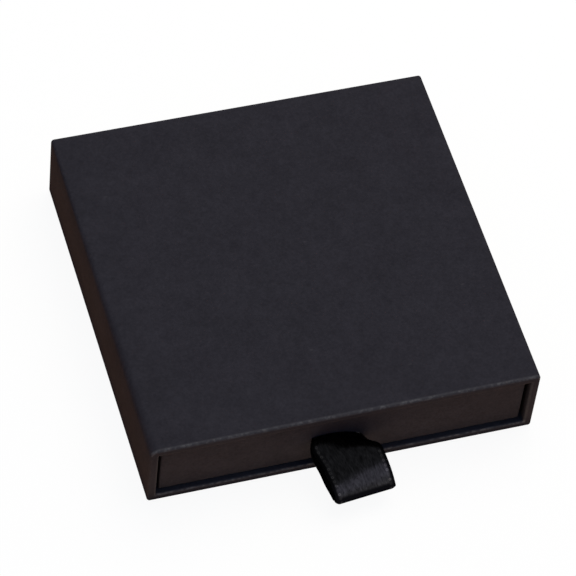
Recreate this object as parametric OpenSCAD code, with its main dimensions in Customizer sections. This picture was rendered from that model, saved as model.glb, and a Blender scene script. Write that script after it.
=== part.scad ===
// Sliding drawer gift box: a shallow paper-wrapped board case, open at the front,
// and a drawer that slides out of it on a folded satin ribbon pull.
// Millimetres. The origin is the centre of the case's underside, +Z is up,
// and the drawer opens towards -Y.

/* [Case] */
// Outside width of the case
case_w = 100; // [60:1:200]
// Outside depth of the case, front to back
case_d = 100; // [60:1:200]
// Outside height of the case
case_h = 21; // [19:0.5:60]
// Thickness of the case's greyboard
case_board_t = 1.8; // [1:0.1:3]
// Rounding of the case's two upper long edges, measured on the paper
edge_r = 2; // [0.8:0.1:2.5]
// Rounding of its two lower long edges
base_edge_r = 0.8; // [0.6:0.1:2.5]

/* [Paper] */
// Thickness of every paper sheet, glue included
paper_t = 0.2; // [0.15:0.05:0.4]
// How far the case's wrap turns in behind the mouth
turn_in = 12; // [6:1:20]
// How far the wrap laps onto the case's underside
base_lap = 8; // [4:1:15]
// How far the wrap laps onto the case's back
back_lap = 3.5; // [2:0.5:6]
// Gap left between two sheets that meet edge to edge
sheet_gap = 0.2; // [0.1:0.1:0.5]
// Thickness of the tape that stays the corners
stay_t = 0.1; // [0.05:0.01:0.1]
// Width of that tape on each side of its corner
stay_leg = 7; // [3:0.5:8]
// How far the case's tapes start behind the boards' front edges
stay_start = 7; // [2:0.5:30]

/* [Drawer] */
// Thickness of the drawer's greyboard
drawer_board_t = 1.5; // [1:0.1:2.5]
// Running gap on each side of the drawer
side_gap = 1; // [0.4:0.1:2]
// Running gap under the drawer
floor_gap = 0.2; // [0.1:0.1:0.5]
// Running gap over the drawer's rim
roof_gap = 0.5; // [0.3:0.1:2]
// Gap behind the closed drawer
back_gap = 1; // [0.5:0.1:3]
// How far the closed drawer's face stands back from the mouth
front_recess = 1.5; // [0:0.1:4]

/* [Ribbon] */
// Width of the satin ribbon
ribbon_w = 15.8; // [10:0.1:20]
// Thickness of the ribbon
ribbon_t = 0.45; // [0.3:0.05:0.6]
// Width of the ribbon where its hole pinches it
pinched_w = 13; // [9:0.1:14]
// Height of the hole in the drawer's front
hole_h = 5.2; // [4:0.1:6]
// How far the hole's centre lies below the middle of the drawer's face
hole_drop = 0.75; // [0:0.05:2]
// How far the hole lies to the right of the middle
hole_shift = -1.6; // [-10:0.1:10]
// Clearance between the ribbon and what it passes through or lies on
ribbon_fit = 0.15; // [0.1:0.05:0.25]
// Gap between the middles of the ribbon's two layers at the hole's ends
leg_split = 1.6; // [1:0.1:2]
// How far the loop reaches out from the drawer's face
loop_reach = 15.3; // [10:0.1:24]
// Angle by which the loop leans to the right
loop_lean = 9.3; // [-15:0.1:15]
// How far the loop shifts to the right as it spreads out of its hole
loop_shift = 1.4; // [-3:0.1:3]
// Distance from the face at which the loop has spread to its full width
flatten_l = 6.5; // [3:0.5:8]
// How far the loop settles just outside its hole
loop_settle = 2.5; // [0:0.1:2.5]
// Distance from the face over which most of that settling happens
settle_l = 3; // [1:0.5:6]
// How far the loop droops towards its fold
loop_droop = 1.8; // [0:0.1:1.8]
// Height that the loop bulges by between hole and fold
loop_swell = 0.5; // [0:0.1:0.8]
// Radius of the ribbon's middle at the fold
fold_r = 0.9; // [0.6:0.1:1.5]
// Radius at which the tails turn up behind the drawer's front
bend_r = 0.6; // [0.4:0.1:0.7]
// How far below the drawer's rim the tails end
tail_drop = 0.95; // [0.6:0.05:3]
// Gap between the two tails, one behind the other
layer_gap = 0.15; // [0.1:0.05:0.3]
// Margin of the paper patch round the tails
patch_margin = 2; // [1:0.5:4]

/* [Hidden] */
$fn = 64;

board_colour = [0.56, 0.54, 0.5];
paper_colour = [0.165, 0.16, 0.18];
lining_colour = [0.13, 0.125, 0.14];
tape_colour = [0.72, 0.62, 0.45];
ribbon_colour = [0.05, 0.05, 0.055];

// A cut runs this far past the surface that it opens
past = 1;

// Case: from the paper outside to the paper inside
case_x = case_w / 2;
front_y = -case_d / 2;
back_y = case_d / 2;
board_x = case_x - paper_t;
board_z = [paper_t, case_h - paper_t];
board_y = [front_y + paper_t, back_y - paper_t];
hollow_x = board_x - case_board_t;
hollow_z = [board_z[0] + case_board_t, board_z[1] - case_board_t];
hollow_back = board_y[1] - case_board_t;
mouth_x = hollow_x - paper_t;
mouth_z = [hollow_z[0] + paper_t, hollow_z[1] - paper_t];
turn_in_y = board_y[0] + turn_in;
lining_back = hollow_back - paper_t;
paper_edges = [base_edge_r, edge_r];
board_edges = [base_edge_r - paper_t, edge_r - paper_t];

// Drawer: the paper outside, its boards, and the paper inside
drawer_x = mouth_x - side_gap;
drawer_y = [front_y + front_recess, lining_back - back_gap];
drawer_z = [mouth_z[0] + floor_gap, mouth_z[1] - roof_gap];
tray_x = drawer_x - paper_t;
tray_y = [drawer_y[0] + paper_t, drawer_y[1] - paper_t];
tray_z = [drawer_z[0] + paper_t, drawer_z[1] - paper_t];
well_x = tray_x - drawer_board_t;
well_y = [tray_y[0] + drawer_board_t, tray_y[1] - drawer_board_t];
well_z = tray_z[0] + drawer_board_t;
inside_x = well_x - paper_t;
inside_y = [well_y[0] + paper_t, well_y[1] - paper_t];

// Ribbon: its hole, and the middle of its cloth, with q the distance out from the face
hole_z = (drawer_z[0] + drawer_z[1]) / 2 - hole_drop;
hole_r = hole_h / 2;
// The hole's round ends clear the corners of the pinched ribbon's two layers
corner_rise = (leg_split + ribbon_t) / 2;
hole_w = pinched_w + 2 * (hole_r - sqrt(hole_r * hole_r - corner_rise * corner_rise) + ribbon_fit);
face_y = drawer_y[0];
arch_rise = hole_r - ribbon_fit - corner_rise;
fold_q = loop_reach - fold_r - ribbon_t / 2;
tail_y = inside_y[0] + ribbon_fit + ribbon_t / 2;
tail_top = drawer_z[1] - tail_drop;
// Powers that say how early the loop swells and how late its legs close
swell_power = 0.8;
close_power = 1.5;
across_steps = 6;
leg_steps = 9;
fold_steps = 6;
bend_steps = 3;

// ---- Shapes that repeat ----

module block(x, y, z) {
    translate([x[0], y[0], z[0]])
        cube([x[1] - x[0], y[1] - y[0], z[1] - z[0]]);
}

// Extrudes an outline drawn in x and z along y
module along_y(y) {
    translate([0, y[1], 0])
        rotate([90, 0, 0])
            linear_extrude(y[1] - y[0])
                children();
}

// A rectangle in x and z, with round corners of one radius below and another above
module rounded(x, z, radii) {
    half = (z[1] - z[0]) / 2;
    translate([-x, z[0] + radii[0]])
        square([2 * x, 2 * half - radii[0] - radii[1]]);
    for (end = [0, 1]) {
        r = radii[end];
        translate([r - x, z[0] + end * half])
            square([2 * (x - r), half]);
        for (side = [-1, 1])
            translate([side * (x - r), end == 0 ? z[0] + r : z[1] - r])
                circle(r);
    }
}

module rectangle(x, z) {
    translate([-x, z[0]])
        square([2 * x, z[1] - z[0]]);
}

// The case's four long boards as one ring, seen from the front
module board_ring() {
    difference() {
        rounded(board_x, board_z, board_edges);
        rectangle(hollow_x, hollow_z);
    }
}

// A wedge that takes one board out of the ring, cut at 45 degrees at both ends
module flat_mitre(outer_z, inner_z) {
    run = abs(outer_z - inner_z);
    polygon([[-board_x, outer_z], [board_x, outer_z], [board_x - run, inner_z],
        [-board_x + run, inner_z]]);
}

module upright_mitre(side) {
    run = case_board_t;
    polygon([[side * board_x, board_z[0]], [side * board_x, board_z[1]],
        [side * (board_x - run), board_z[1] - run], [side * (board_x - run), board_z[0] + run]]);
}

// A folded tape seen end on: an L whose corner is at the origin, with one leg to
// the left or right and the other up or down, as the signs of the two directions say
module stay(x_dir, z_dir) {
    for (leg = [[stay_leg, stay_t], [stay_t, stay_leg]])
        translate([min(0, x_dir * leg[0]), min(0, z_dir * leg[1])])
            square(leg);
}

// The obround hole that the ribbon comes out of, as the solid that cuts it
module ribbon_hole(y) {
    end_x = hole_w / 2 - hole_r;
    along_y(y)
        translate([hole_shift, hole_z]) {
            square([2 * end_x, hole_h], center = true);
            for (side = [-1, 1])
                translate([side * end_x, 0])
                    circle(hole_r);
        }
}

// ---- Case ----

module case_top_board() {
    color(board_colour)
        along_y(board_y)
            intersection() {
                board_ring();
                flat_mitre(board_z[1], hollow_z[1]);
            }
}

module case_bottom_board() {
    color(board_colour)
        along_y(board_y)
            intersection() {
                board_ring();
                flat_mitre(board_z[0], hollow_z[0]);
            }
}

module case_side_board(side) {
    color(board_colour)
        along_y(board_y)
            intersection() {
                board_ring();
                upright_mitre(side);
            }
}

module case_left_board() {
    case_side_board(-1);
}

module case_right_board() {
    case_side_board(1);
}

module case_back_board() {
    color(board_colour)
        block([-hollow_x, hollow_x], [hollow_back, board_y[1]], hollow_z);
}

// Four tapes along the inside corners, under the turned-in wrap and the lining
module case_corner_stays() {
    color(tape_colour)
        along_y([board_y[0] + stay_start, hollow_back])
            for (side = [-1, 1], end = [0, 1])
                translate([side * hollow_x, hollow_z[end]])
                    stay(-side, 1 - 2 * end);
}

// The paper round the outside, over the boards' front edges and into the mouth
module case_wrap() {
    color(paper_colour)
        difference() {
            union() {
                difference() {
                    along_y([front_y, back_y])
                        rounded(case_x, [0, case_h], paper_edges);
                    along_y(board_y)
                        rounded(board_x, board_z, board_edges);
                }
                along_y([front_y, turn_in_y])
                    rectangle(hollow_x, hollow_z);
            }
            block([-mouth_x, mouth_x], [front_y - past, turn_in_y + past], mouth_z);
            case_corner_stays();
            base_panel(sheet_gap, past);
            back_panel(sheet_gap, past);
        }
}

// The sheet's place on the underside, grown by a margin and downwards
module base_panel(margin, below) {
    reach_x = case_x - base_lap + margin;
    reach_y = case_d / 2 - base_lap + margin;
    block([-reach_x, reach_x], [-reach_y, reach_y], [-below, paper_t]);
}

module case_base_sheet() {
    color(lining_colour)
        base_panel(0, 0);
}

// The sheet's place on the back, grown by a margin and backwards
module back_panel(margin, behind) {
    reach_x = case_x - back_lap + margin;
    block([-reach_x, reach_x], [board_y[1], back_y + behind],
        [back_lap - margin, case_h - back_lap + margin]);
}

module case_back_sheet() {
    color(paper_colour)
        back_panel(0, 0);
}

// The paper on the inside, from the wrap's turned-in edge to the back
module case_lining() {
    start_y = turn_in_y + sheet_gap;
    color(lining_colour)
        difference() {
            block([-hollow_x, hollow_x], [start_y, hollow_back], hollow_z);
            block([-mouth_x, mouth_x], [start_y - past, lining_back], mouth_z);
            case_corner_stays();
        }
}

// ---- Drawer ----

module drawer_base_board() {
    color(board_colour)
        block([-tray_x, tray_x], tray_y, [tray_z[0], well_z]);
}

module drawer_front_board() {
    color(board_colour)
        difference() {
            block([-tray_x, tray_x], [tray_y[0], well_y[0]], [well_z, tray_z[1]]);
            ribbon_hole([tray_y[0] - past, well_y[0] + past]);
        }
}

module drawer_back_board() {
    color(board_colour)
        block([-tray_x, tray_x], [well_y[1], tray_y[1]], [well_z, tray_z[1]]);
}

module drawer_left_board() {
    color(board_colour)
        block([-tray_x, -well_x], well_y, [well_z, tray_z[1]]);
}

module drawer_right_board() {
    color(board_colour)
        block([well_x, tray_x], well_y, [well_z, tray_z[1]]);
}

// Four tapes round the outside of the upright corners, under the wrap
module drawer_corner_stays() {
    color(tape_colour)
        for (side = [-1, 1], end = [0, 1])
            translate([side * (tray_x + stay_t), tray_y[end] + (2 * end - 1) * stay_t, well_z])
                linear_extrude(tray_z[1] - well_z)
                    stay(-side, 1 - 2 * end);
}

// One sheet under the tray, up its outside, over the rim and down its inside
module drawer_wrap() {
    color(paper_colour)
        difference() {
            block([-drawer_x, drawer_x], drawer_y, drawer_z);
            difference() {
                block([-tray_x, tray_x], tray_y, tray_z);
                block([-well_x, well_x], well_y, [well_z, tray_z[1] + past]);
            }
            block([-inside_x, inside_x], inside_y, [well_z, drawer_z[1] + past]);
            drawer_corner_stays();
            ribbon_hole([drawer_y[0] - past, inside_y[0] + past]);
        }
}

module drawer_floor_sheet() {
    color(lining_colour)
        block([-inside_x, inside_x], inside_y, [well_z, well_z + paper_t]);
}

// ---- Ribbon ----

function mix(a, b, k) = a + (b - a) * k;

function eased(k) = k <= 0 ? 0 : k >= 1 ? 1 : k * k * (3 - 2 * k);

// Height of the middle of the loop, q out from the drawer's face
function loop_z(q) =
    hole_z - loop_settle * (1 - exp(-q / settle_l)) - loop_droop * pow(q / fold_q, 2);

// Half the height between the loop's two legs
function half_gap(q) =
    let (root = leg_split / 2 + arch_rise, k = q / fold_q)
        root + loop_swell * sin(180 * pow(k, swell_power)) - (root - fold_r) * pow(k, close_power);

// A point of the cloth: across runs from -1 at its left edge to 1 at its right
function loop_point(across, q, z) =
    let (flat = eased(q / flatten_l), turn = loop_lean * flat,
        x = across * mix(pinched_w, ribbon_w, flat) / 2)
        [hole_shift + loop_shift * flat + x * cos(turn) + q * sin(turn),
            face_y + x * sin(turn) - q * cos(turn), z];

function leg_rise(across, q) =
    mix(leg_split / 2 + arch_rise * (1 - across * across), half_gap(q), eased(q / flatten_l));

function leg_row(q, side) =
    [for (a = across_list) loop_point(a, q, loop_z(q) + side * leg_rise(a, q))];

function fold_row(angle) =
    [for (a = across_list)
        loop_point(a, fold_q + fold_r * cos(angle), loop_z(fold_q) + fold_r * sin(angle))];

// Rows inside the drawer: through the hole, round its edge and up the inner face
function inner_row(y, side, up) =
    [for (a = across_list)
        [hole_shift + a * pinched_w / 2, y,
            hole_z + side * (leg_split / 2 + arch_rise * (1 - a * a)) + up]];

function tail_row(y) =
    [for (a = across_list) [hole_shift + a * ribbon_w / 2, y, tail_top]];

function tail_rows(side) =
    let (y = tail_y + (side < 0 ? ribbon_t + layer_gap : 0), start = y - bend_r)
        concat([tail_row(y)],
            [for (step = [bend_steps:-1:0])
                let (turn = 90 * step / bend_steps)
                    inner_row(start + bend_r * sin(turn), side, bend_r * (1 - cos(turn)))],
            [inner_row(face_y, side, 0)]);

across_list = [for (step = [0:across_steps]) 2 * step / across_steps - 1];
upper_rows = concat(tail_rows(1),
    [for (step = [1:leg_steps]) leg_row(fold_q * step / leg_steps, 1)]);
lower_rows = concat(tail_rows(-1),
    [for (step = [1:leg_steps]) leg_row(fold_q * step / leg_steps, -1)]);
ribbon_rows = concat(upper_rows,
    [for (step = [1:fold_steps - 1]) fold_row(90 - 180 * step / fold_steps)],
    [for (row = [len(lower_rows) - 1:-1:0]) lower_rows[row]]);

function unit(v) = v / norm(v);

// The cloth's normal at one point, from its neighbours along and across
function cloth_normal(rows, i, j) =
    let (last = len(rows) - 1, end = len(rows[0]) - 1,
        along = rows[min(i + 1, last)][j] - rows[max(i - 1, 0)][j],
        over = rows[i][min(j + 1, end)] - rows[i][max(j - 1, 0)])
        unit(cross(over, along));

// A closed solid of even thickness over a grid of points
module thick_sheet(rows, thickness) {
    count = len(rows[0]);
    last = len(rows) - 1;
    end = count - 1;
    half = len(rows) * count;
    skin = [for (side = [1, -1], i = [0:last], j = [0:end])
        rows[i][j] + side * thickness / 2 * cloth_normal(rows, i, j)];
    faces = concat(
        [for (i = [0:last - 1], j = [0:end - 1], part = [0, 1])
            let (a = i * count + j, b = a + 1, c = a + count, d = c + 1)
                part == 0 ? [a, c, d] : [a, d, b]],
        [for (i = [0:last - 1], j = [0:end - 1], part = [0, 1])
            let (a = half + i * count + j, b = a + 1, c = a + count, d = c + 1)
                part == 0 ? [a, d, c] : [a, b, d]],
        [for (i = [0:last - 1], edge = [0, end], part = [0, 1])
            let (a = i * count + edge, b = a + count, c = a + half, d = b + half,
                face = part == 0 ? [a, c, d] : [a, d, b])
                edge == 0 ? face : [face[0], face[2], face[1]]],
        [for (j = [0:end - 1], row = [0, last], part = [0, 1])
            let (a = row * count + j, b = a + 1, c = a + half, d = b + half,
                face = part == 0 ? [a, d, c] : [a, b, d])
                row == 0 ? face : [face[0], face[2], face[1]]]);
    polyhedron(skin, faces);
}

// One folded ribbon: tail, hole, upper leg, fold, lower leg, hole and tail
module ribbon_pull() {
    color(ribbon_colour)
        thick_sheet(ribbon_rows, ribbon_t);
}

// The paper patch glued over both tails on the inside
module ribbon_patch() {
    depth = 2 * ribbon_t + layer_gap + 2 * ribbon_fit;
    pocket_half = max(ribbon_w, pinched_w) / 2 + ribbon_fit;
    pocket_x = [hole_shift - pocket_half, hole_shift + pocket_half];
    pocket_z = [hole_z - hole_r, tail_top + ribbon_fit];
    color(paper_colour)
        difference() {
            block([pocket_x[0] - patch_margin, pocket_x[1] + patch_margin],
                [inside_y[0], inside_y[0] + depth + paper_t],
                [pocket_z[0] - paper_t, pocket_z[1] + paper_t]);
            block(pocket_x, [inside_y[0] - past, inside_y[0] + depth], pocket_z);
        }
}

case_top_board();
case_bottom_board();
case_left_board();
case_right_board();
case_back_board();
case_corner_stays();
case_wrap();
case_base_sheet();
case_back_sheet();
case_lining();
drawer_base_board();
drawer_front_board();
drawer_back_board();
drawer_left_board();
drawer_right_board();
drawer_corner_stays();
drawer_wrap();
drawer_floor_sheet();
ribbon_pull();
ribbon_patch();
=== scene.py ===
import math

import bpy
import numpy as np
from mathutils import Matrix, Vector


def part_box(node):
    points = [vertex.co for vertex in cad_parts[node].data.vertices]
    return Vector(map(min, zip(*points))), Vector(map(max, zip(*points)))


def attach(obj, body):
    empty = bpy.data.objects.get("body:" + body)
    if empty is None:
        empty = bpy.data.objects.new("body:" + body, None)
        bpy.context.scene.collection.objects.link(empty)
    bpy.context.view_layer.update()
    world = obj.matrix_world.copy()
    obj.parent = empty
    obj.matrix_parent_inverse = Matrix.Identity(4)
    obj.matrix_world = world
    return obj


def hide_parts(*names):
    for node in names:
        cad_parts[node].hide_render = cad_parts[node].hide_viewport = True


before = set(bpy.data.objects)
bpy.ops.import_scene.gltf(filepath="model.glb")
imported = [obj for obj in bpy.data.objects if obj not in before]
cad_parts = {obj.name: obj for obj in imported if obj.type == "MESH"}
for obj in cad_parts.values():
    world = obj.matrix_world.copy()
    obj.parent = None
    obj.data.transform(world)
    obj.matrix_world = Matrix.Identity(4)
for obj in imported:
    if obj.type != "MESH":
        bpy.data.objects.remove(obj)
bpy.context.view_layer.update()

MM = 0.001
# Closer than this many millimetres counts as the same place
tiny = 1e-3


def box(node):
    """Lowest and highest corner of a CAD node, in millimetres."""
    low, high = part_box(node)
    return np.array(low) / MM, np.array(high) / MM


# ---- Sizes taken from the frame ----

case_low, case_high = box("case_wrap")
case_x = case_high[0]
case_d = case_high[1] - case_low[1]
case_h = case_high[2]
base_sheet = box("case_base_sheet")[1]
back_sheet = box("case_back_sheet")[1]
paper_t = base_sheet[2]
# How far in from the outside the paper lies in the mouth
mouth_inset = case_x - (box("case_back_board")[1][0] - paper_t)
lining_y = box("case_lining")[0][1]
drawer_low, drawer_high = box("drawer_wrap")
tray_floor_low, tray_floor_high = box("drawer_floor_sheet")
ribbon_top = box("ribbon_pull")[1][2]

# ---- Sizes of the finish ----

# The seam between the wrap and the sheets that close the underside, the back and the inside
sheet_gap = 0.04
# Rounding of the case's long edges. The upper left one is rubbed rounder than the others, and most of all
# just behind the front fold. On that fold it is no rounder than the board inside, or that would show
top_left_r = 2.4
front_left_r = 2.0
back_left_r = 0.9
top_right_r = 0.9
base_edge_r = 0.8
least_r = 0.25
# Rounding of the case's front and back edges
fold_r = 0.65
# How rubbed each stretch of the fold round the front and of the one into the mouth is, from 0 to 1, and
# how much more so they are at the corners: the lighter colour there is partly wear, partly painted
# highlight
front_wear_and_highlight = {"top": 0.68, "sides": 0.08, "base": 0.05, "corners": 0.22}
mouth_wear_and_highlight = {"top": 0.35, "sides": 0.5, "base": 0.85, "corners": 0.1}
# The back fold and a narrow band behind the front fold are lightened by these shares of the front fold's
# wear and painted highlight
back_share = 0.6
band_share = 0.6
worn_band = 0.2
# How near to the top or the base a point counts as part of it, and how far a corner's wear and painted
# highlight reach
edge_reach = 1.2
corner_reach = 1.0
# How soon the paper inside the mouth darkens into its painted shade, and how much of that painted shade the
# lip below has
mouth_shade_reach = 0.6
lip_shade_share = 0.1
# Rounding of the drawer's edges, and of its upright corners in plan
tray_fold_r = 0.45
tray_corner_r = 0.3
least_tray_r = 0.2
# How far in the rows of points under the drawer lie
under_insets = (40, 25, 12, 5, 1.5)

# The ribbon where it is inside the drawer, as in the CAD source
ribbon_w = 15.8
ribbon_t = 0.4
cad_ribbon_t = 0.45
pinched_w = 13
hole_h = 5.2
hole_drop = 0.75
hole_shift = -1.6
ribbon_fit = 0.15
leg_split = 1.6
bend_r = 0.6
layer_gap = 0.15
hole_z = (drawer_low[2] + drawer_high[2]) / 2 - hole_drop
arch_rise = hole_h / 2 - ribbon_fit - (leg_split + cad_ribbon_t) / 2
# The hole in the paper: its right end's radius, and how far that end stops short of the board's hole
pulled_end_r = 1.9
pulled_in = 0.3
# From where to where it is cut, back from the drawer's face
cut_span = (-1, 4)
# Its loop outside: how steeply the upper leg falls, in degrees, at distances along it
leg_slopes = [(0, -1), (4, -1), (8, 16), (12, 35), (17.4, 60)]
# Radius of the fold, how far a painted shade, a darker band on the satin, runs up the leg from it, and how
# strongly the fold and the hole hold the lower leg straight
nose_r = 1.0
fold_shade_reach = 0.7
fold_pull = 5.6
hole_pull = 9.3
# How far the loop has moved to the right, and how far it rolls to the right, at distances from the face
loop_shifts = [(0, 0), (3, 0.4), (6, 1.4), (10, 2.1), (15.5, 3.5)]
loop_rolls = [(0, 8.6), (1, 8.6), (4, -1.7), (16, 1.3)]
loop_turn = math.radians(6.4)
# How far out the loop is flat, and how far out it has its full width again
flatten_l = 5.7
flare_l = 3.9
# Rounding of the fold's two ends: how far they draw in and back, and over how much of the width
tuck_in = 0.3
tuck_back = 0.5
tuck_share = 0.1
# How much the loop is domed across its width once it is flat, and where the dome runs out
crown = 0.7
least_crown = 0.05
crown_start = 4
crown_l = 9
# How far the upper leg's right edge curls down, round one place
curl_depth = 1.75
curl_place = 3.3
curl_l = 3
# The pattern woven along both selvedges
selvedge_w = 0.85
selvedge_blend = 0.15
selvedge_rough = 0.6
picot_inset = 1.15
picot_pitch = 1.2
picot_r = 0.24
picot_line = 0.13

# ---- Colours, as linear values ----

wrap_colour = (0.0240, 0.0230, 0.0290)
# Rubbed folds: partly real wear, partly a painted highlight
wear_and_highlight_colour = (0.040, 0.039, 0.045)
# The most rubbed spots, at the corners most of all: partly bare paper, partly a painted glint
bare_and_glint_colour = (0.10, 0.10, 0.105)
# Painted shade inside the case's mouth
mouth_shade_colour = (0.008, 0.0075, 0.009)
lining_colour = (0.0145, 0.0135, 0.0155)
lint_colour = (0.09, 0.085, 0.09)
board_colour = (0.3, 0.28, 0.25)
tape_colour = (0.42, 0.28, 0.15)
satin_colour = (0.0262, 0.0255, 0.0272)
# Painted shade: the satin's darker band round the fold
fold_shade_colour = (0.004, 0.004, 0.005)
selvedge_colour = (0.006, 0.006, 0.007)
picot_colour = (0.09, 0.085, 0.085)
white = (1, 1, 1)

# ---- The stage: the floor's shape in millimetres, its light and the lamps in metres and watts ----

floor_rings = (400, 1200, 1600)
cove_r = 900
cove_angle = 80
floor_drop = 0.05
floor_colour = (0.8, 0.5, 0.33)
shadow_share = 0.07
# The floor glows round the box, outside the box's own shade: from where to where, and how strongly
shade_start = 0.002
shade_end = 0.009
glow_reach = 0.05
front_glow = (2.3, 1.79, 1.21)
side_glow = (1.94, 1.05, 0.35)
world_colour = (0.426, 0.627, 1.0)
world_strength = 0.485
mirrored_world = (0.5, 0.52, 0.55)
overhead_place = (0.45, 0.45, 1.3)
overhead_size = 1.4
overhead_power = 22.8
overhead_colour = (1.0, 0.888, 0.688)
# A soft panel in front that only the satin mirrors
panel_place = (0.46, -1.06, 0.74)
panel_size = 0.7
panel_power = 2.2
panel_colour = (0.815, 0.815, 1.0)
# The camera, from a fit to the photograph: place in metres, turn in degrees, focal length in millimetres
camera_place = (-0.207024, -0.510896, 0.739827)
camera_turn = (36.7437, -4.3856, -16.2242)
camera_lens = 224.7955
sensor_width = 36

# ---- Meshes ----

def make_piece(name, points, faces, body, material, stands_for):
    """A smooth mesh piece that rides on a body in place of a CAD node. Its points are in millimetres."""
    mesh = bpy.data.meshes.new(name)
    mesh.from_pydata((np.asarray(points, float) * MM).tolist(), [], faces)
    mesh.materials.append(material)
    mesh.shade_smooth()
    piece = bpy.data.objects.new(name, mesh)
    bpy.context.scene.collection.objects.link(piece)
    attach(piece, body)
    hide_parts(stands_for)
    return piece


def grid_faces(rows, columns, closed=False, keep=None):
    """Quads over a grid of points. keep says which of them are made."""
    faces = []
    for i in range(rows - 1):
        for j in range(columns if closed else columns - 1):
            if keep is None or keep(i, j):
                k = (j + 1) % columns
                here, above = i * columns, (i + 1) * columns
                faces.append((here + j, here + k, above + k, above + j))
    return faces


def point_values(piece, name, values):
    """Gives each point of the piece a value that its material reads."""
    attribute = piece.data.attributes.new(name, "FLOAT", "POINT")
    attribute.data.foreach_set("value", np.asarray(values, np.float32).ravel())


def thicken(piece, thickness, offset=-1):
    """Makes a surface a solid: inwards with offset -1, evenly to both sides with offset 0."""
    solid = piece.modifiers.new("thickness", "SOLIDIFY")
    solid.thickness = thickness * MM
    solid.offset = offset
    solid.use_even_offset = True
    solid.use_quality_normals = True


def settle_modifiers(piece, sharp=40):
    """Turns the piece's modifiers into its mesh, smooth but for edges over so many degrees."""
    graph = bpy.context.evaluated_depsgraph_get()
    mesh = bpy.data.meshes.new_from_object(piece.evaluated_get(graph))
    piece.modifiers.clear()
    old = piece.data
    piece.data = mesh
    bpy.data.meshes.remove(old)
    mesh.name = piece.name
    mesh.shade_smooth()
    mesh.set_sharp_from_angle(angle=math.radians(sharp))


def spans(start, end, steps):
    """Even steps from start, up to but without the end."""
    return list(np.linspace(start, end, steps, endpoint=False))


def arc(start, end, steps):
    """Angles in radians, in even steps from one angle in degrees to another."""
    return np.radians(np.linspace(start, end, steps + 1))


def mix(a, b, k):
    """A blend that is a where k is 0 and b where it is 1."""
    return a + (b - a) * k


def eased(k):
    """A soft ramp from 0 to 1."""
    k = min(max(k, 0), 1)
    return k * k * (3 - 2 * k)


def smooth(pairs, at):
    """A smooth curve through given (place, value) pairs."""
    place, value = np.array(pairs, float).T
    slope = np.gradient(value, place)
    at = np.clip(at, place[0], place[-1])
    i = np.clip(np.searchsorted(place, at) - 1, 0, len(place) - 2)
    step = place[i + 1] - place[i]
    k = (at - place[i]) / step
    return hermite(k, value[i], step * slope[i], value[i + 1], step * slope[i + 1])


def hermite(k, start, leave, end, enter):
    """A cubic curve from start to end, with the slopes that it leaves and enters with."""
    return ((1 + 2 * k) * (1 - k) ** 2 * start + k * (1 - k) ** 2 * leave
            + k ** 2 * (3 - 2 * k) * end + k ** 2 * (k - 1) * enter)


# ---- Materials ----

class Shader:
    """A material's node tree, with one short call for each kind of node."""

    def __init__(self, name):
        self.material = bpy.data.materials.new(name)
        self.material.use_nodes = True
        self.tree = self.material.node_tree
        self.tree.nodes.clear()
        self.place = self.add("TexCoord").outputs["Object"]

    def add(self, kind, inputs=None, **settings):
        """A node of one kind. Its inputs are sockets to link or values to set."""
        node = self.tree.nodes.new("ShaderNode" + kind)
        for key, value in settings.items():
            setattr(node, key, value)
        for key, value in (inputs or {}).items():
            socket = node.inputs[key]
            if isinstance(value, bpy.types.NodeSocket):
                self.tree.links.new(value, socket)
            else:
                socket.default_value = value
        return node

    def noise(self, scale, detail=2, place=None, rough=0.5):
        """Noise with that many features a metre. Nearly all of it lies between 0.3 and 0.7."""
        return self.add("TexNoise", {"Vector": place or self.place, "Scale": scale, "Detail": detail,
                                     "Roughness": rough}).outputs["Fac"]

    def spread(self, value, low, high, out_low, out_high):
        """A value from one range carried over to another, and held at its ends."""
        return self.add("MapRange", {"Value": value, "From Min": low, "From Max": high, "To Min": out_low,
                                     "To Max": out_high}).outputs["Result"]

    def vary(self, noise, low, high):
        """Spreads noise over the values from low to high."""
        return self.spread(noise, 0.3, 0.7, low, high)

    def math(self, operation, a, b=0.0):
        return self.add("Math", {0: a, 1: b}, operation=operation).outputs[0]

    def mix(self, factor, under, over):
        """One colour over another, by a factor. The one under may be a socket."""
        under = (*under, 1) if isinstance(under, tuple) else under
        return self.add("Mix", {0: factor, 6: under, 7: (*over, 1)}, data_type="RGBA").outputs[2]

    def point_value(self, name):
        """What point_values gave the points under that name."""
        return self.add("Attribute", attribute_name=name).outputs["Fac"]

    def shade(self, colour, tone):
        """A colour made lighter or darker by a factor."""
        return self.add("VectorMath", {0: colour, "Scale": tone}, operation="SCALE").outputs[0]

    def bump(self, height, distance, strength):
        """Relief of that depth in millimetres."""
        inputs = {"Height": height, "Distance": distance * MM, "Strength": strength}
        return self.add("Bump", inputs).outputs[0]

    def finish(self, **inputs):
        """Sets the shader's sockets, with _ for a space in their names, and returns the material."""
        names = {key.replace("_", " "): value for key, value in inputs.items()}
        shader = self.add("BsdfPrincipled", names)
        self.add("OutputMaterial", {"Surface": shader.outputs[0]})
        return self.material


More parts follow.
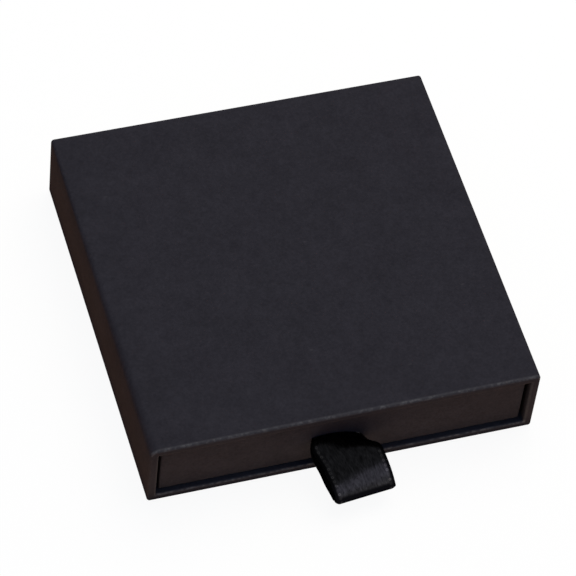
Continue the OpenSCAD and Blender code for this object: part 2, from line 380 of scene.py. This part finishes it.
def paper(name, colour, wear_and_highlight=None, bare_and_glint=None, painted_shade=None, rough=0.8):
    """Matte dyed paper: a fine fibre grain, a faint cloudiness, a little lint, and lighter folds, partly
    wear and partly painted highlight.

    Where a shade colour is given, the paper darkens towards it by a point value: painted shade inside the
    case's mouth.
    """
    s = Shader(name)
    grain = s.noise(1500, 3, rough=0.6)
    mottle = s.noise(420)
    cloud = s.noise(110)
    tone = s.math("MULTIPLY", s.vary(grain, 0.86, 1.14), s.vary(mottle, 0.94, 1.06))
    tone = s.math("MULTIPLY", tone, s.vary(cloud, 0.94, 1.06))
    tint = s.mix(lint(s), s.shade(colour, tone), lint_colour)
    # Painted shade: darker inside the case's mouth
    if painted_shade:
        tint = s.mix(s.point_value("mouth_shade"), tint, painted_shade)
    # Lighter folds: partly wear, partly painted highlight
    if wear_and_highlight:
        patchy = s.math("MULTIPLY", s.point_value("fold"), s.spread(s.noise(900, 3), 0.35, 0.65, 0.6, 1.25))
        tint = s.mix(s.spread(patchy, 0.0, 0.5, 0.0, 1.0), tint, wear_and_highlight)
        # Barest spots: partly bare paper, partly painted glint
        tint = s.mix(s.spread(patchy, 0.6, 1.1, 0.0, 1.0), tint, bare_and_glint)
    height = s.math("ADD", grain, s.math("MULTIPLY", s.noise(5200), 0.5))
    return s.finish(Base_Color=tint, Roughness=s.vary(grain, rough - 0.06, rough + 0.06),
                    Specular_IOR_Level=0.0, Normal=s.bump(height, 0.03, 0.5))


def lint(s):
    """How strongly a point shows as lint: small flecks in the middle of a few of many slanted cells."""
    place = s.add("Mapping", {"Vector": s.place, "Rotation": (0, 0, 0.6), "Scale": (170, 330, 300)})
    cells = s.add("TexVoronoi", {"Vector": place.outputs[0], "Scale": 1.0, "Randomness": 1.0})
    chance = s.add("SeparateColor", {0: cells.outputs["Color"]}).outputs[0]
    chosen = s.math("GREATER_THAN", chance, 0.93)
    return s.math("MULTIPLY", s.spread(cells.outputs["Distance"], 0.04, 0.12, 0.15, 0.0), chosen)


def greyboard():
    """Grey fibre board with darker and lighter fibres pressed flat."""
    s = Shader("greyboard")
    fibre_place = s.add("Mapping", {"Vector": s.place, "Scale": (260, 900, 1400)}).outputs[0]
    fibre = s.noise(1, 4, fibre_place, 0.65)
    blotch = s.noise(180, 3)
    tone = s.math("MULTIPLY", s.vary(fibre, 0.75, 1.25), s.vary(blotch, 0.92, 1.08))
    return s.finish(Base_Color=s.shade(board_colour, tone), Roughness=0.9, Specular_IOR_Level=0.2,
                    Normal=s.bump(fibre, 0.04, 0.6))


def tape():
    """Brown gummed paper with faint ribs across its length."""
    s = Shader("stay_tape")
    wave = s.add("TexWave", {"Vector": s.place, "Scale": 350, "Distortion": 2.0, "Detail": 2.0})
    fibre = s.noise(1800, 3)
    tone = s.math("MULTIPLY", s.spread(wave.outputs["Fac"], 0, 1, 0.93, 1.05), s.vary(fibre, 0.85, 1.15))
    return s.finish(Base_Color=s.shade(tape_colour, tone), Roughness=0.8, Specular_IOR_Level=0.25,
                    Normal=s.bump(fibre, 0.02, 0.5))


def satin():
    """Black single-face satin. Its floats mirror the soft panel, so its reflection is its colour."""
    s = Shader("satin_ribbon")
    cloth = s.add("UVMap", uv_map="cloth").outputs[0]
    float_place = s.add("Mapping", {"Vector": cloth, "Scale": (2600, 700, 1)}).outputs[0]
    floats = s.noise(1, 3, float_place, 0.6)
    streak_place = s.add("Mapping", {"Vector": cloth, "Scale": (1000, 450, 1)}).outputs[0]
    streaks = s.noise(1, 2, streak_place)
    tone = s.math("MULTIPLY", s.vary(floats, 0.5, 1.5), s.vary(streaks, 0.65, 1.35))
    selvedge = s.point_value("selvedge")
    # Painted shade: a darker band round the fold
    tint = s.mix(s.point_value("fold_shade"), s.shade(satin_colour, tone), fold_shade_colour)
    tint = s.mix(selvedge, tint, selvedge_colour)
    tint = s.mix(picot_rings(s, cloth), tint, picot_colour)
    gloss = s.vary(floats, 0.26, 0.36)
    rough = s.add("Mix", {0: selvedge, 2: gloss, 3: selvedge_rough}, data_type="FLOAT").outputs[0]
    tangent = s.add("Tangent", direction_type="UV_MAP", uv_map="cloth").outputs[0]
    return s.finish(Base_Color=tint, Metallic=1.0, Roughness=rough, Specular_Tint=(0.3, 0.3, 0.3, 1),
                    Anisotropic=0.5, Tangent=tangent, Normal=s.bump(floats, 0.04, 0.7))


def picot_rings(s, cloth):
    """How light a point is as part of the selvedge's row of small rings, each worn in its own measure."""
    across, along = s.add("SeparateXYZ", {0: cloth}).outputs[:2]
    pitch = picot_pitch * MM
    from_row = s.math("SUBTRACT", s.math("ABSOLUTE", across), (ribbon_w / 2 - picot_inset) * MM)
    from_dot = s.math("SUBTRACT", s.math("PINGPONG", along, pitch), pitch / 2)
    squares = s.math("ADD", s.math("POWER", from_row, 2.0), s.math("POWER", from_dot, 2.0))
    distance = s.math("POWER", squares, 0.5)
    off_ring = s.math("ABSOLUTE", s.math("SUBTRACT", distance, picot_r * MM))
    ring = s.spread(off_ring, picot_line * MM / 2, picot_line * MM, 1.0, 0.0)
    number = s.math("FLOOR", s.math("DIVIDE", along, pitch))
    chance = s.add("TexWhiteNoise", {"W": number}, noise_dimensions="1D").outputs["Value"]
    return s.math("MULTIPLY", ring, s.spread(chance, 0.0, 1.0, 0.15, 1.0))


wrap_paper = paper("wrap_paper", wrap_colour, wear_and_highlight_colour, bare_and_glint_colour, mouth_shade_colour)
lining_paper = paper("lining_paper", lining_colour, rough=0.84)
board = greyboard()
stay_tape = tape()
ribbon_satin = satin()


# ---- Case ----

def rubbed_r(y):
    """Rounding of the upper left edge at one depth."""
    from_front = y - case_low[1]
    behind_fold = mix(top_left_r, back_left_r, eased(from_front / case_d))
    return mix(front_left_r, behind_fold, eased((from_front - paper_t) / (fold_r - paper_t)))


def case_ring(inset, y):
    """The case's outline at one depth, seen from the front, anticlockwise from its lower right."""
    x, z = case_x - inset, case_h / 2 - inset
    lap_x = base_sheet[0] + sheet_gap
    # Only the lap on the back lies further in than the mouth's paper, round a sheet with square corners
    least = least_r if inset <= mouth_inset else sheet_gap
    base_r, right_r, left_r = (max(r - inset, least) for r in (base_edge_r, top_right_r, rubbed_r(y)))
    points = []

    def corner(side, end, r, first):
        for a in arc(first, first + 90, 8):
            points.append((side * (x - r) + r * math.cos(a), end * (z - r) + r * math.sin(a)))

    points.extend((x, t) for t in spans(base_r - z, z - right_r, 8)[1:])
    corner(1, 1, right_r, 0)
    points.extend((t, z) for t in spans(x - right_r, left_r - x, 32)[1:])
    corner(-1, 1, left_r, 90)
    points.extend((-x, t) for t in spans(z - left_r, base_r - z, 8)[1:])
    corner(-1, -1, base_r, 180)
    points.extend((t, -z) for t in spans(base_r - x, -lap_x, 3)[1:])
    points.extend((t, -z) for t in np.linspace(-lap_x, lap_x, 25))
    points.extend((t, -z) for t in spans(lap_x, x - base_r, 3)[1:])
    corner(1, -1, base_r, 270)
    return np.array(points) + (0, case_h / 2)


def case_stations():
    """(inset, y, front wear and painted highlight, mouth wear and painted highlight) from the lap on the
    back to the edge inside the mouth.
    """
    back, front, r = case_high[1], case_low[1], fold_r
    lap = case_x - back_sheet[0] - sheet_gap
    lap_y = base_sheet[1] + sheet_gap
    band = front + r + 2 * worn_band
    stations = [(inset, back, 0, 0) for inset in spans(lap, r, 3)]
    stations += [(r - r * math.sin(a), back - r + r * math.cos(a), back_share * math.sin(2 * a), 0)
                 for a in arc(0, 90, 6)]
    stations += [(0, y, 0, 0) for y in spans(back - r, lap_y, 3)[1:]]
    stations += [(0, y, 0, 0) for y in np.linspace(lap_y, -lap_y, 25)]
    stations += [(0, y, 0, 0) for y in spans(-lap_y, band, 3)[1:]]
    stations += [(0, band, 0, 0), (0, front + r + worn_band, band_share, 0)]
    stations += [(r - r * math.cos(a), front + r - r * math.sin(a), min(1.0, 2 * math.cos(a)), 0)
                 for a in arc(0, 90, 8)]
    stations += [(inset, front, 0, 0) for inset in spans(r, mouth_inset - r, 4)[1:]]
    stations += [(mouth_inset - r + r * math.sin(a), front + r - r * math.cos(a), 0, math.sin(2 * a))
                 for a in arc(0, 90, 6)]
    stations += [(mouth_inset, y, 0, 0) for y in np.linspace(front + r, lining_y - sheet_gap, 8)[1:]]
    return stations


def wear_and_highlight_round(ring, inset, top, sides, base, corners):
    """How light a fold is round one ring, from wear and painted highlight, by how rubbed its stretches and
    corners are.
    """
    x, z = ring.T
    near = edge_reach + inset
    wear = np.where(z > case_h - near, top, np.where(z < near, base, sides))
    from_side = case_x - inset - abs(x)
    from_corner = np.minimum(np.hypot(from_side, case_h - inset - z), np.hypot(from_side, z - inset))
    return wear + corners * np.exp(-(from_corner / corner_reach) ** 2)


def make_case_paper():
    """The paper round the case, open where the sheets on its underside and its back lie."""
    rows, wear, mouth_shade = [], [], []
    for inset, y, front, mouth in case_stations():
        ring = case_ring(inset, y)
        rows.append([(x, y, z) for x, z in ring])
        # Lighter folds, partly wear and partly painted highlight
        wear.append(front * wear_and_highlight_round(ring, inset, **front_wear_and_highlight) + mouth * wear_and_highlight_round(ring, inset, **mouth_wear_and_highlight))
        # Painted shade: darker deeper inside the mouth, and only a share of it on the lip below
        deep_shade = eased((y - case_low[1] - fold_r) / mouth_shade_reach) if inset == mouth_inset else 0
        mouth_shade.append(np.where(ring[:, 1] > mouth_inset + least_r, deep_shade, deep_shade * lip_shade_share))
    rows = np.array(rows)
    columns = rows.shape[1]
    opening = base_sheet[:2] + sheet_gap + tiny

    def keep(i, j):
        corners = rows[i:i + 2, [j, (j + 1) % columns]].reshape(-1, 3)
        inside = (abs(corners[:, :2]) < opening).all(axis=1)
        return not (inside & (corners[:, 2] < tiny)).all()

    piece = make_piece("case_paper", rows.reshape(-1, 3), grid_faces(len(rows), columns, True, keep),
                       "case", wrap_paper, "case_wrap")
    point_values(piece, "fold", wear)
    point_values(piece, "mouth_shade", mouth_shade)
    thicken(piece, paper_t)
    settle_modifiers(piece)


# ---- Drawer ----

def tray_ring(inset):
    """The drawer's outline seen from above, anticlockwise from its back right corner."""
    middle = (drawer_high + drawer_low)[:2] / 2
    half = (drawer_high - drawer_low)[:2] / 2 - inset
    r = max(tray_corner_r - inset, least_tray_r)
    sides = np.array([(1, 1), (-1, 1), (-1, -1), (1, -1)])
    centres = sides * (half - r)
    points = []
    for i, centre in enumerate(centres):
        first = 90 * i
        points += [centre + r * np.array([math.cos(a), math.sin(a)]) for a in arc(first, first + 90, 6)]
        along = centres[(i + 1) % 4] - centre
        points += [points[-1] + along * t for t in spans(0, 1, 16)[1:]]
    return np.array(points) + middle


def tray_stations():
    """(inset, z, wear and painted highlight) from under the middle, up the outside, over the rim and down
    the inside.
    """
    low, high, r = drawer_low[2], drawer_high[2], tray_fold_r
    wall = drawer_high[0] - tray_floor_high[0]
    stations = [(inset, low, 0) for inset in under_insets]
    stations += [(r - r * math.sin(a), low + r - r * math.cos(a), math.sin(2 * a)) for a in arc(0, 90, 5)]
    stations += [(0, z, 0) for z in spans(low + r, high - r, 8)[1:]]
    stations += [(r - r * math.cos(a), high - r + r * math.sin(a), math.sin(2 * a)) for a in arc(0, 90, 5)]
    stations += [(wall / 2, high, 0)]
    stations += [(wall - r + r * math.sin(a), high - r + r * math.cos(a), math.sin(2 * a))
                 for a in arc(0, 90, 5)]
    stations += [(wall, z, 0) for z in np.linspace(high - r, tray_floor_low[2], 7)[1:]]
    return stations


def make_drawer_paper():
    """The paper round the drawer, closed below, with the ribbon's hole cut through its front."""
    stations = tray_stations()
    rows = np.array([[(x, y, z) for x, y in tray_ring(inset)] for inset, z, _ in stations])
    columns = rows.shape[1]
    faces = grid_faces(len(rows), columns, True)
    faces.append(tuple(range(columns))[::-1])
    piece = make_piece("drawer_paper", rows.reshape(-1, 3), faces, "drawer", wrap_paper,
                       "drawer_wrap")
    # The drawer's rolled edges are lighter, partly wear and partly painted highlight
    point_values(piece, "fold", [[wear_and_highlight] * columns for _, _, wear_and_highlight in stations])
    thicken(piece, paper_t)
    cutter = make_hole_cutter()
    cut = piece.modifiers.new("hole", "BOOLEAN")
    cut.object = cutter
    cut.solver = "EXACT"
    settle_modifiers(piece)
    bpy.data.objects.remove(cutter)


def make_hole_cutter():
    """The hole in the paper, a little smaller at its right end, where the ribbon bears on it."""
    r = hole_h / 2
    corner_rise = (leg_split + cad_ribbon_t) / 2
    half = pinched_w / 2 + r - math.sqrt(r * r - corner_rise * corner_rise) + ribbon_fit
    outline = []
    for side, first, end_r, drawn_in in ((1, -90, pulled_end_r, pulled_in), (-1, 90, r, 0)):
        middle = hole_shift + side * (half - drawn_in - end_r)
        outline += [(middle + end_r * math.cos(a), end_r - r + end_r * math.sin(a))
                    for a in arc(first, first + 180, 16)]
    count = len(outline)
    points = [(x, drawer_low[1] + y, hole_z + z) for y in cut_span for x, z in outline]
    faces = [(j, (j + 1) % count, count + (j + 1) % count, count + j) for j in range(count)]
    faces += [tuple(range(count))[::-1], tuple(range(count, 2 * count))]
    mesh = bpy.data.meshes.new("hole")
    mesh.from_pydata((np.array(points) * MM).tolist(), [], faces)
    cutter = bpy.data.objects.new("hole", mesh)
    bpy.context.scene.collection.objects.link(cutter)
    return cutter


# ---- Ribbon ----

# How many rows of points the upper leg, the fold and the lower leg have
upper_rows = 70
nose_rows = 24
lower_rows = 60


def upper_profile(steps):
    """The upper leg seen from the side: distance from the face, height, and its last slope."""
    along = np.linspace(0, leg_slopes[-1][0], steps)
    slope = np.radians(smooth(leg_slopes, along))
    step = along[1] - along[0]
    out = np.concatenate([[0], np.cumsum((np.cos(slope[1:]) + np.cos(slope[:-1])) / 2 * step)])
    fall = np.concatenate([[0], np.cumsum((np.sin(slope[1:]) + np.sin(slope[:-1])) / 2 * step)])
    return out, hole_z + leg_split / 2 + arch_rise - fall, slope[-1]


def lower_profile(start, slope, steps):
    """The lower leg, from the fold back into the hole, as one cubic curve."""
    end = np.array([0, hole_z - leg_split / 2 - arch_rise])
    leave = fold_pull * np.array([-math.cos(slope), math.sin(slope)])
    enter = hole_pull * np.array([-1, 0])
    return hermite(np.linspace(0, 1, steps)[:, None], start, leave, end, enter)


# Places across the ribbon, from its left edge at -1 to its right one at 1, closer together at both edges
across = np.concatenate([np.linspace(-1, -0.8, 7)[:-1], np.linspace(-0.8, 0.8, 33),
                         np.linspace(0.8, 1, 7)[1:]])


def loop_row(q, z, side, tuck=0):
    """One row of the loop, q out from the face. side is 1 on the upper leg and -1 on the lower one."""
    flat = eased(q / flatten_l)
    flare = 1 - (1 - min(q / flare_l, 1)) ** 2
    x = across * (mix(pinched_w, ribbon_w, flare) / 2 - tuck * tuck_in)
    out = q - tuck * tuck_back * np.clip((abs(across) - 1 + tuck_share) / tuck_share, 0, 1) ** 2
    dome = mix(arch_rise, crown, flat) * (1 - eased((q - crown_start) / crown_l)) + least_crown
    height = z - side * dome * across ** 2 - math.tan(math.radians(smooth(loop_rolls, q))) * x
    curled = (2 * np.clip(across - 0.5, 0, 1)) ** 2 * math.exp(-((q - curl_place) / curl_l) ** 2)
    height = height - max(side, 0) * curl_depth * curled
    turn = loop_turn * flat
    return np.stack([hole_shift + smooth(loop_shifts, q) + x * math.cos(turn),
                     drawer_low[1] + x * math.sin(turn) - out, height], 1)


def loop_rows():
    """The upper leg, the fold and the lower leg, and how much painted shade each row has round the fold."""
    out, height, slope = upper_profile(upper_rows)
    rows = [loop_row(q, z, 1) for q, z in zip(out, height)]
    centre = np.array([out[-1] - nose_r * math.sin(slope), height[-1] - nose_r * math.cos(slope)])
    turns = np.linspace(0, math.pi, nose_rows + 2)[1:-1]
    for turn in turns:
        q, z = centre + nose_r * np.array([math.sin(slope + turn), math.cos(slope + turn)])
        rows.append(loop_row(q, z, math.cos(turn), math.sin(turn)))
    start = centre + nose_r * np.array([math.sin(slope + math.pi), math.cos(slope + math.pi)])
    lower = lower_profile(start, slope, lower_rows)
    rows += [loop_row(q, z, -1) for q, z in lower]
    to_fold = out[-1] - out
    # Painted shade: full round the fold, fading out up the upper leg, none on the lower leg
    fold_shade = list(np.clip(2 - 2 * to_fold / fold_shade_reach, 0, 1)) + [1.0] * len(turns) + [0.0] * len(lower)
    return rows, fold_shade


def tail_rows(side):
    """From the tail's top down the drawer's inside, round the hole's edge and out to the face."""
    arch = across ** 2
    tail_y = tray_floor_low[1] + ribbon_fit + cad_ribbon_t / 2
    y_in = tail_y + (cad_ribbon_t + layer_gap if side < 0 else 0)
    start = y_in - bend_r

    def inner(y, up, lean):
        z = hole_z + side * (leg_split / 2 + arch_rise * (1 - arch)) + up
        x = across * pinched_w / 2
        roll = math.tan(math.radians(smooth(loop_rolls, 0)))
        z = z - lean * (roll * x + side * least_crown * arch)
        return np.stack([hole_shift + x, y + 0 * z, z], 1)

    top = np.stack([hole_shift + across * ribbon_w / 2, y_in + 0 * across, ribbon_top + 0 * across], 1)
    rows = [mix(top, inner(y_in, bend_r, 0), t) for t in spans(0, 1, 20)]
    rows += [inner(start + bend_r * math.sin(a), bend_r * (1 - math.cos(a)), 0) for a in arc(90, 0, 6)]
    steps = np.linspace(0, 1, 10)[1:-1]
    return rows + [inner(mix(start, drawer_low[1], t), 0, t) for t in steps]


def path_length(rows):
    """How far along the ribbon each row lies, measured down its middle."""
    line = rows[:, rows.shape[1] // 2]
    return np.concatenate([[0], np.cumsum(np.linalg.norm(np.diff(line, axis=0), axis=1))])


def make_ribbon():
    """The ribbon as one strip, from the upper tail's top out over the loop to the lower tail's top."""
    loop, fold_shade = loop_rows()
    tails = tail_rows(1), tail_rows(-1)[::-1]
    rows = np.array(tails[0] + loop + tails[1])
    fold_shade = np.pad(fold_shade, (len(tails[0]), len(tails[1])))
    along = path_length(rows)
    place_across = across * ribbon_w / 2
    piece = make_piece("ribbon", rows.reshape(-1, 3), grid_faces(len(rows), len(across)), "drawer",
                       ribbon_satin, "ribbon_pull")
    edge = np.clip((np.abs(place_across) - (ribbon_w / 2 - selvedge_w)) / selvedge_blend, 0, 1)
    point_values(piece, "selvedge", np.tile(edge, len(rows)))
    point_values(piece, "fold_shade", np.repeat(fold_shade, len(across)))
    layer = piece.data.uv_layers.new(name="cloth")
    place = np.stack(np.broadcast_arrays(place_across[None, :], along[:, None]), -1).reshape(-1, 2) * MM
    corners = np.zeros(len(piece.data.loops), int)
    piece.data.loops.foreach_get("vertex_index", corners)
    layer.data.foreach_set("uv", place[corners].astype(np.float32).ravel())
    thicken(piece, ribbon_t, 0)
    settle_modifiers(piece, sharp=60)


# ---- CAD nodes that stay, with their finish ----

def finish_cad_nodes():
    """Gives each of them the material that the ending of its name calls for."""
    finishes = {"board": board, "stays": stay_tape, "base_sheet": lining_paper, "back_sheet": wrap_paper,
                "lining": lining_paper, "floor_sheet": lining_paper, "patch": lining_paper}
    for name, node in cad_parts.items():
        for ending, material in finishes.items():
            if name.endswith(ending):
                node.data.materials.clear()
                node.data.materials.append(material)


# ---- Stage ----

def floor_material():
    """The camera sees the floor white, with a faint shadow. Other rays see it as it lights the box.

    It glows softly round the box, as a lit table does, and that warm light is what the sides show.
    """
    s = Shader("floor")
    bright = s.add("Emission", {"Color": (*white, 1), "Strength": 1.0})
    lit = s.add("BsdfDiffuse", {"Color": (*white, 1)})
    x, y = (s.math("MAXIMUM", s.math("SUBTRACT", s.math("ABSOLUTE", part), case_x * MM), 0.0)
            for part in s.add("SeparateXYZ", {0: s.place}).outputs[:2])
    distance = s.math("MAXIMUM", x, y)
    strength = s.math("MULTIPLY", s.spread(distance, shade_start, shade_end, 0.0, 1.0),
                      s.spread(distance, shade_end, glow_reach, 1.0, 0.0))
    at_side = s.math("GREATER_THAN", x, y)
    glow = s.add("Emission", {"Color": s.mix(at_side, front_glow, side_glow), "Strength": strength})
    plain = s.add("BsdfDiffuse", {"Color": (*floor_colour, 1)})
    bounce = s.add("AddShader", {0: plain.outputs[0], 1: glow.outputs[0]})
    path = s.add("LightPath")
    seen = s.math("MAXIMUM", path.outputs["Is Camera Ray"], path.outputs["Is Glossy Ray"])
    seen = s.math("MAXIMUM", seen, path.outputs["Is Transmission Ray"])
    shown = s.add("MixShader", {0: shadow_share, 1: bright.outputs[0], 2: lit.outputs[0]})
    surface = s.add("MixShader", {0: seen, 1: bounce.outputs[0], 2: shown.outputs[0]})
    s.add("OutputMaterial", {"Surface": surface.outputs[0]})
    return s.material


def make_floor():
    """A flat disc with its rim curved up into a low cove."""
    profile = [(r, 0) for r in floor_rings]
    profile += [(floor_rings[-1] + cove_r * math.sin(a), cove_r * (1 - math.cos(a)))
                for a in arc(0, cove_angle, 8)[1:]]
    turns = arc(0, 360, 48)[:-1]
    points = [(r * math.cos(a), r * math.sin(a), z - floor_drop) for r, z in profile for a in turns]
    faces = [face[::-1] for face in grid_faces(len(profile), len(turns), True)] + [tuple(range(len(turns)))]
    mesh = bpy.data.meshes.new("floor")
    mesh.from_pydata((np.array(points) * MM).tolist(), [], faces)
    mesh.materials.append(floor_material())
    mesh.shade_smooth()
    floor = bpy.data.objects.new("floor", mesh)
    bpy.context.scene.collection.objects.link(floor)


def make_world():
    """A cool even light. Glossy rays see it nearly grey, so that the satin stays black."""
    world = bpy.data.worlds.new("studio")
    world.use_nodes = True
    tree = world.node_tree
    background = tree.nodes["Background"]
    background.inputs["Strength"].default_value = world_strength
    path = tree.nodes.new("ShaderNodeLightPath")
    blend = tree.nodes.new("ShaderNodeMix")
    blend.data_type = "RGBA"
    blend.inputs[6].default_value = (*world_colour, 1)
    blend.inputs[7].default_value = (*mirrored_world, 1)
    tree.links.new(path.outputs["Is Glossy Ray"], blend.inputs[0])
    tree.links.new(blend.outputs[2], background.inputs["Color"])
    bpy.context.scene.world = world


def make_lamp(name, place, size, power, colour, on_paper):
    """A square soft lamp aimed at the box, which either lights the paper or is mirrored by the satin."""
    lamp = bpy.data.lights.new(name, "AREA")
    lamp.size = size
    lamp.energy = power
    lamp.color = colour
    holder = bpy.data.objects.new(name, lamp)
    holder.location = place
    holder.rotation_euler = (-Vector(place)).to_track_quat("-Z", "Y").to_euler()
    holder.visible_diffuse = on_paper
    holder.visible_glossy = not on_paper
    bpy.context.scene.collection.objects.link(holder)


def make_camera():
    """Looks down on the box's front left corner, from the place that a fit to the photograph gave."""
    camera = bpy.data.cameras.new("camera")
    camera.sensor_width = sensor_width
    camera.lens = camera_lens
    holder = bpy.data.objects.new("camera", camera)
    holder.location = camera_place
    holder.rotation_euler = [math.radians(angle) for angle in camera_turn]
    bpy.context.scene.collection.objects.link(holder)
    bpy.context.scene.camera = holder


make_case_paper()
make_drawer_paper()
make_ribbon()
finish_cad_nodes()
make_floor()
make_world()
make_lamp("overhead", overhead_place, overhead_size, overhead_power, overhead_colour, True)
make_lamp("panel", panel_place, panel_size, panel_power, panel_colour, False)
make_camera()

scene = bpy.context.scene
scene.view_settings.view_transform = "Standard"
